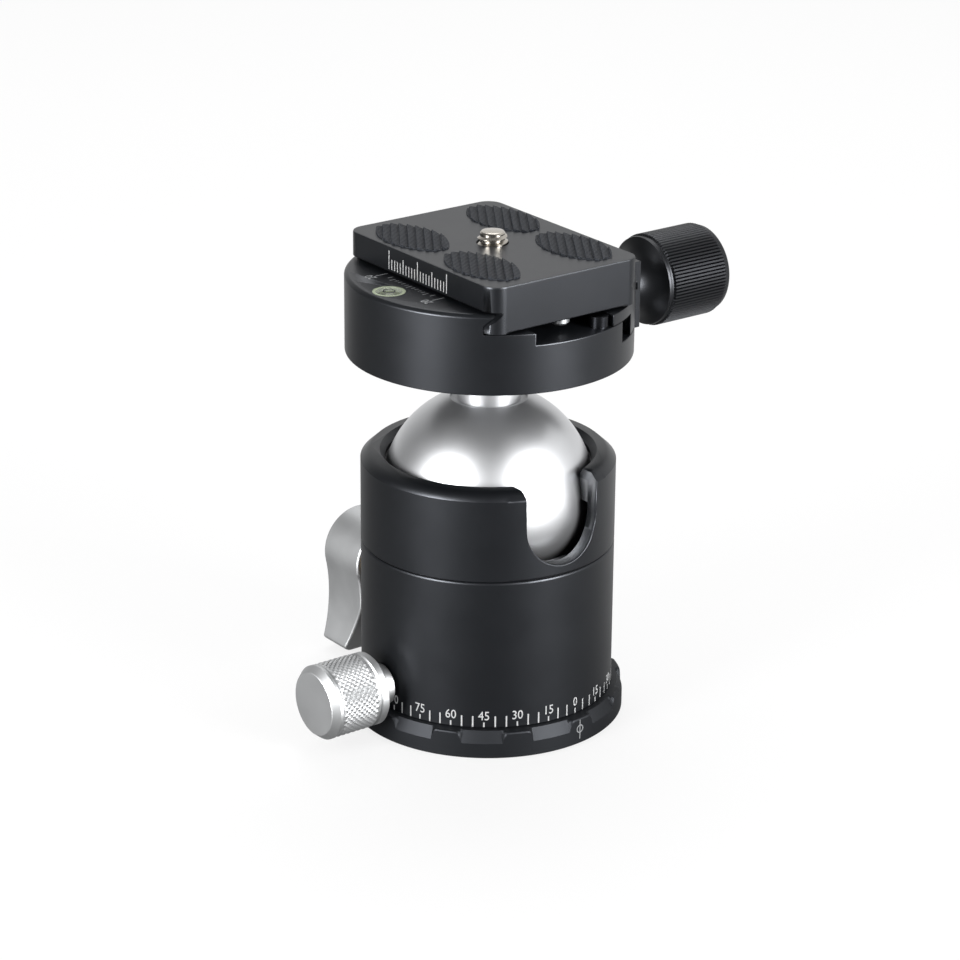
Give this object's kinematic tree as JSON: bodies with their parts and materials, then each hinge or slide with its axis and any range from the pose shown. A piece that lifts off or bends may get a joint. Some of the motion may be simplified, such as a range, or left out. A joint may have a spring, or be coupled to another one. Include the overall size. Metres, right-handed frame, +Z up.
{
  "type": "tripod ball head",
  "caption": "Tripod ball head with a panning base, side drop notch, ball lock lever, panning lock knob and a round quick release clamp holding a dovetail plate.",
  "frame": {"origin": "centre of the base's bottom face, on the panning axis and on the mouth of the tripod thread", "axes": "+Z up the head along the panning axis; -Y towards the drop notch; +X towards the clamp knob; +Y towards the ball lock lever"},
  "size_m": [0.1034, 0.0741, 0.1064],
  "materials": {
    "black_anodised": "black anodised, satin",
    "bare_aluminium": "turned, bare",
    "bright_aluminium": "silver anodised, bright",
    "satin_aluminium": "silver anodised, fine satin",
    "steel": "machined",
    "black_steel": "blackened",
    "chrome": "plated",
    "brass": "machined",
    "washer_plastic": "low friction plastic",
    "seat_plastic": "dark bearing plastic",
    "knob_plastic": "ribbed, dark",
    "rubber": "fine stippled rubber",
    "level_plastic": "gloss",
    "level_fluid": "clear coloured fluid",
    "level_lens": "clear"
  },
  "bodies": {
    "base": {"base_ring": "black_anodised", "tripod_bush": "steel", "pan_spindle": "bare_aluminium", "spindle_screws": "steel", "pan_washer_lower": "washer_plastic", "pan_washer_upper": "washer_plastic", "pan_nut": "bare_aluminium"},
    "housing": {"lower_housing": "black_anodised", "upper_housing": "black_anodised", "seat_ring": "seat_plastic", "wear_plate": "steel", "shaft_bush": "brass", "pan_bush": "brass"},
    "pan_brake": {"brake_shoe": "brass"},
    "pan_lock": {"pan_screw": "steel", "pan_knob": "bright_aluminium"},
    "wedge": {"lock_wedge": "steel"},
    "lever": {"lock_shaft": "steel", "lock_lever": "bright_aluminium", "lever_screw": "steel"},
    "cup": {"pressure_cup": "bare_aluminium"},
    "pad": {"ball_pad": "washer_plastic"},
    "ball": {"ball": "satin_aluminium"},
    "clamp": {"clamp_body": "black_anodised", "clamp_bolt": "steel", "stop_post": "black_steel", "level_cup": "level_plastic", "level_fluid": "level_fluid", "level_lens": "level_lens"},
    "jaw": {"moving_jaw": "black_anodised", "guide_pins": "steel", "jaw_studs": "steel", "jaw_springs": "steel"},
    "knob": {"thrust_washer": "seat_plastic", "clamp_screw": "steel", "clamp_knob": "knob_plastic"},
    "plate": {"plate": "black_anodised", "plate_pads": "rubber", "stop_screws": "steel", "screw_clip": "steel"},
    "screw_carrier": {"screw_washer": "washer_plastic"},
    "screw": {"camera_screw": "chrome"}
  },
  "joints": [
    {"name": "pan", "type": "hinge", "parent": "base", "child": "housing", "pos_m": [0, 0, 0.006], "axis": [0, 0, 1], "continuous": true},
    {"name": "pan_brake_slide", "type": "slide", "parent": "housing", "child": "pan_brake", "axis": [-1, 0, 0], "range_m": [0, 0.0007]},
    {"name": "pan_lock_turn", "type": "hinge", "parent": "pan_brake", "child": "pan_lock", "pos_m": [-0.03, 0, 0.0111], "axis": [-1, 0, 0], "range_deg": [0, 360]},
    {"name": "wedge_slide", "type": "slide", "parent": "housing", "child": "wedge", "axis": [0, 1, 0], "range_m": [0, 0.00067]},
    {"name": "lever_turn", "type": "hinge", "parent": "wedge", "child": "lever", "pos_m": [0, 0.038, 0.0227], "axis": [0, 1, 0], "range_deg": [0, 120]},
    {"name": "cup_lift", "type": "slide", "parent": "housing", "child": "cup", "axis": [0, 0, -1], "range_m": [0, 0.000168]},
    {"name": "side_tilt", "type": "hinge", "parent": "housing", "child": "pad", "pos_m": [0, 0, 0.0492], "axis": [0, 1, 0], "range_deg": [-35, 35]},
    {"name": "drop", "type": "hinge", "parent": "pad", "child": "ball", "pos_m": [0, 0, 0.0492], "axis": [1, 0, 0], "range_deg": [-35, 90]},
    {"name": "swivel", "type": "hinge", "parent": "ball", "child": "clamp", "pos_m": [0, 0, 0.0808], "axis": [0, 0, 1], "continuous": true},
    {"name": "jaw_slide", "type": "slide", "parent": "clamp", "child": "jaw", "axis": [1, 0, 0], "range_m": [0, 0.004], "deforming": ["jaw_springs"]},
    {"name": "knob_turn", "type": "hinge", "parent": "jaw", "child": "knob", "pos_m": [0.04, 0, 0.0878], "axis": [1, 0, 0], "range_deg": [0, 1440]},
    {"name": "plate_slide", "type": "slide", "parent": "clamp", "child": "plate", "axis": [0, 1, 0], "range_m": [-0.0092, 0.0108]},
    {"name": "screw_lift", "type": "slide", "parent": "plate", "child": "screw_carrier", "axis": [0, 0, 1], "range_m": [0, 0.002]},
    {"name": "screw_turn", "type": "hinge", "parent": "screw_carrier", "child": "screw", "pos_m": [0, -0.0008, 0.1], "axis": [0, 0, 1], "continuous": true}
  ],
  "couplings": [
    {"joint": "pan_lock_turn", "follows": "pan_brake_slide", "rad_per_m": 8975.9},
    {"joint": "lever_turn", "follows": "wedge_slide", "rad_per_m": 3125.9},
    {"joint": "cup_lift", "follows": "wedge_slide", "ratio": 0.25},
    {"joint": "knob_turn", "follows": "jaw_slide", "rad_per_m": 6283.1}
  ]
}
